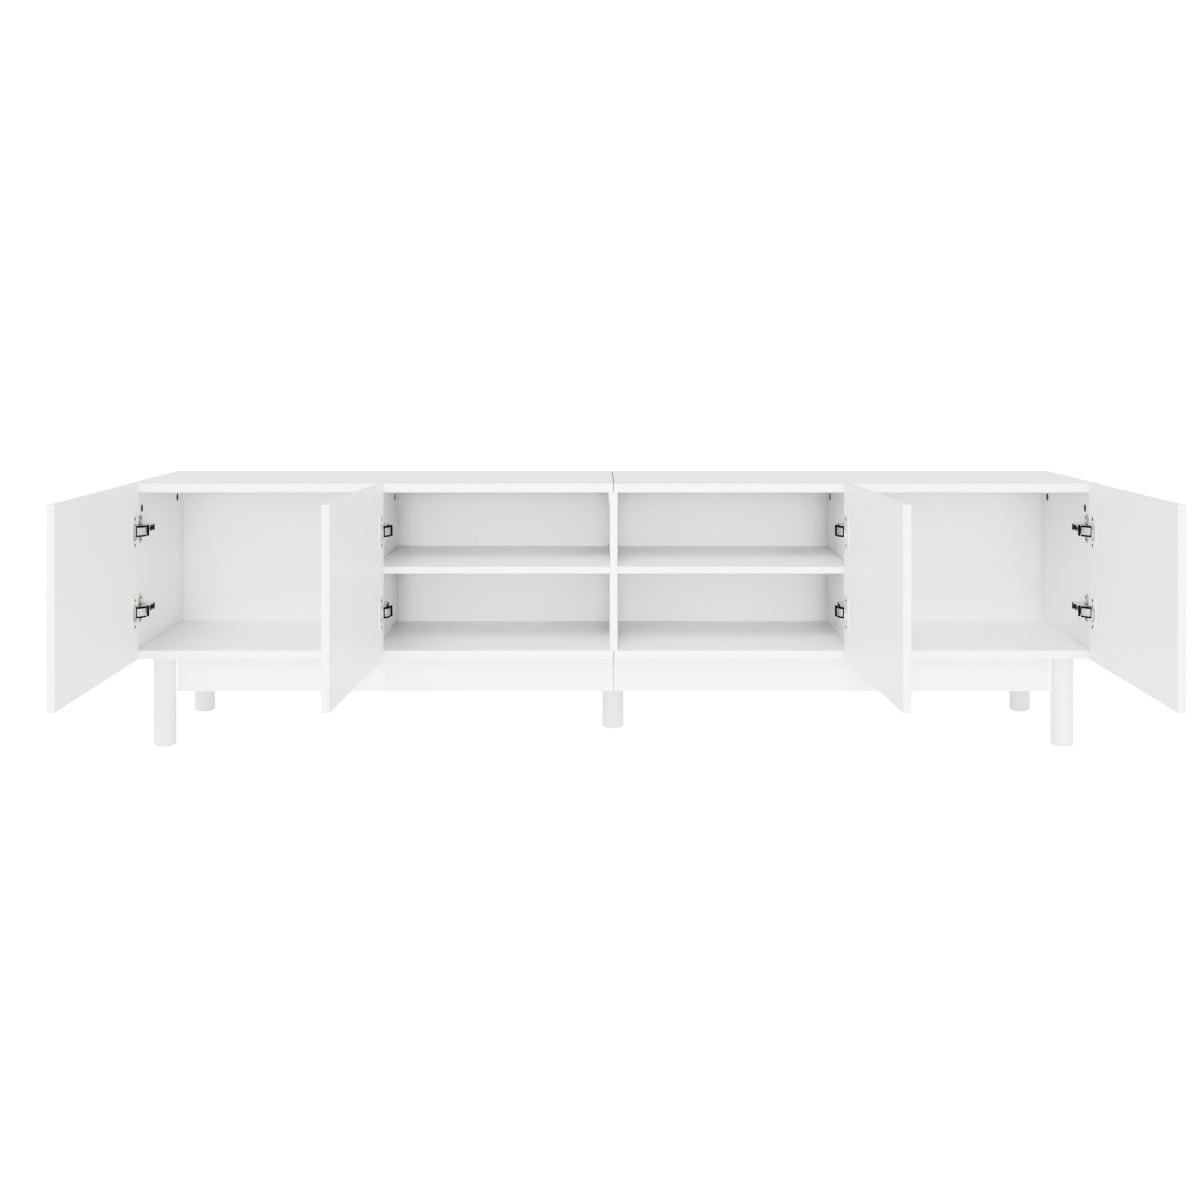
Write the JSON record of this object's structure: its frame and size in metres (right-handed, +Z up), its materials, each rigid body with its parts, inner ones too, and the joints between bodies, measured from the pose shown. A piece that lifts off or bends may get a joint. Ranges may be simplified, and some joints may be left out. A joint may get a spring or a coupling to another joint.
{
  "type": "tv stand with doors",
  "caption": "Low white TV stand made of two joined modules with flush doors on concealed hinges, shelves in the middle bays, round legs and a front apron.",
  "frame": {"origin": "on the floor under the middle of the cabinet, at the centre of the middle leg's foot", "axes": "+X along the cabinet's width, to the right as seen from the front; -Y is the front, where the doors open; +Z up. The doors stand open in the rest position."},
  "size_m": [1.8, 0.8088, 0.4905],
  "materials": {
    "white_board": "satin",
    "shelf_board": "satin",
    "door_board": "satin",
    "back_board": "matte",
    "leg_paint": "satin",
    "nickel_steel": "satin",
    "zinc_steel": "satin",
    "cam_zinc": "satin",
    "dowel_wood": "matte",
    "glide_plastic": "matte"
  },
  "bodies": {
    "cabinet": {"top_board_left": "white_board", "top_board_right": "white_board", "bottom_board_left": "white_board", "bottom_board_right": "white_board", "side_panel_left": "white_board", "side_panel_right": "white_board", "partition_left": "white_board", "partition_right": "white_board", "shelf_left": "shelf_board", "shelf_right": "shelf_board", "back_panel_outer_left": "back_board", "back_panel_outer_right": "back_board", "back_panel_inner_left": "back_board", "back_panel_inner_right": "back_board", "apron_left": "white_board", "apron_right": "white_board", "leg_front_left": "leg_paint", "leg_front_right": "leg_paint", "leg_rear_left": "leg_paint", "leg_rear_right": "leg_paint", "centre_panel": "white_board", "leg_centre": "leg_paint", "leg_glides": "glide_plastic", "leg_hanger_bolts": "zinc_steel", "leg_insert_nuts": "zinc_steel", "centre_leg_plate": "zinc_steel", "cam_locks": "cam_zinc", "cam_bolts": "zinc_steel", "dowels": "dowel_wood", "panel_screws": "zinc_steel", "shelf_pins": "zinc_steel", "corner_brackets": "zinc_steel", "bracket_screws": "zinc_steel", "seam_plates": "zinc_steel", "seam_plate_screws": "zinc_steel", "seam_long_screws": "zinc_steel", "hinge_mounting_plates": "nickel_steel", "hinge_plate_screws": "nickel_steel", "hinge_arms": "nickel_steel", "hinge_arm_screws": "nickel_steel", "hinge_lever_pins": "nickel_steel"},
    "door_outer_left": {"door_outer_left": "door_board", "hinge_cups_outer_left": "nickel_steel", "cup_screws_outer_left": "nickel_steel"},
    "levers_outer_left": {"hinge_levers_outer_left": "nickel_steel"},
    "door_outer_right": {"door_outer_right": "door_board", "hinge_cups_outer_right": "nickel_steel", "cup_screws_outer_right": "nickel_steel"},
    "levers_outer_right": {"hinge_levers_outer_right": "nickel_steel"},
    "door_inner_left": {"door_inner_left": "door_board", "hinge_cups_inner_left": "nickel_steel", "cup_screws_inner_left": "nickel_steel"},
    "levers_inner_left": {"hinge_levers_inner_left": "nickel_steel"},
    "door_inner_right": {"door_inner_right": "door_board", "hinge_cups_inner_right": "nickel_steel", "cup_screws_inner_right": "nickel_steel"},
    "levers_inner_right": {"hinge_levers_inner_right": "nickel_steel"}
  },
  "joints": [
    {"name": "door_outer_left_hinge", "type": "hinge", "parent": "cabinet", "child": "door_outer_left", "pos_m": [-0.89202, -0.1925, 0.328], "axis": [0, 0, -1], "range_deg": [-90, 15]},
    {"name": "levers_outer_left_fold", "type": "hinge", "parent": "cabinet", "child": "levers_outer_left", "pos_m": [-0.867, -0.181, 0.328], "axis": [0, 0, -1], "range_deg": [-11.25, 67.5]},
    {"name": "door_outer_right_hinge", "type": "hinge", "parent": "cabinet", "child": "door_outer_right", "pos_m": [0.89202, -0.1925, 0.328], "axis": [0, 0, 1], "range_deg": [-90, 15]},
    {"name": "levers_outer_right_fold", "type": "hinge", "parent": "cabinet", "child": "levers_outer_right", "pos_m": [0.867, -0.181, 0.328], "axis": [0, 0, 1], "range_deg": [-11.25, 67.5]},
    {"name": "door_inner_left_hinge", "type": "hinge", "parent": "cabinet", "child": "door_inner_left", "pos_m": [-0.44124, -0.1938, 0.328], "axis": [0, 0, -1], "range_deg": [-93, 12]},
    {"name": "levers_inner_left_fold", "type": "hinge", "parent": "cabinet", "child": "levers_inner_left", "pos_m": [-0.417, -0.181, 0.328], "axis": [0, 0, -1], "range_deg": [-10.8, 83.7]},
    {"name": "door_inner_right_hinge", "type": "hinge", "parent": "cabinet", "child": "door_inner_right", "pos_m": [0.44124, -0.1938, 0.328], "axis": [0, 0, 1], "range_deg": [-93, 12]},
    {"name": "levers_inner_right_fold", "type": "hinge", "parent": "cabinet", "child": "levers_inner_right", "pos_m": [0.417, -0.181, 0.328], "axis": [0, 0, 1], "range_deg": [-10.8, 83.7]}
  ],
  "couplings": [
    {"joint": "levers_outer_left_fold", "follows": "door_outer_left_hinge", "ratio": -0.75},
    {"joint": "levers_outer_right_fold", "follows": "door_outer_right_hinge", "ratio": -0.75},
    {"joint": "levers_inner_left_fold", "follows": "door_inner_left_hinge", "ratio": -0.9},
    {"joint": "levers_inner_right_fold", "follows": "door_inner_right_hinge", "ratio": -0.9}
  ]
}
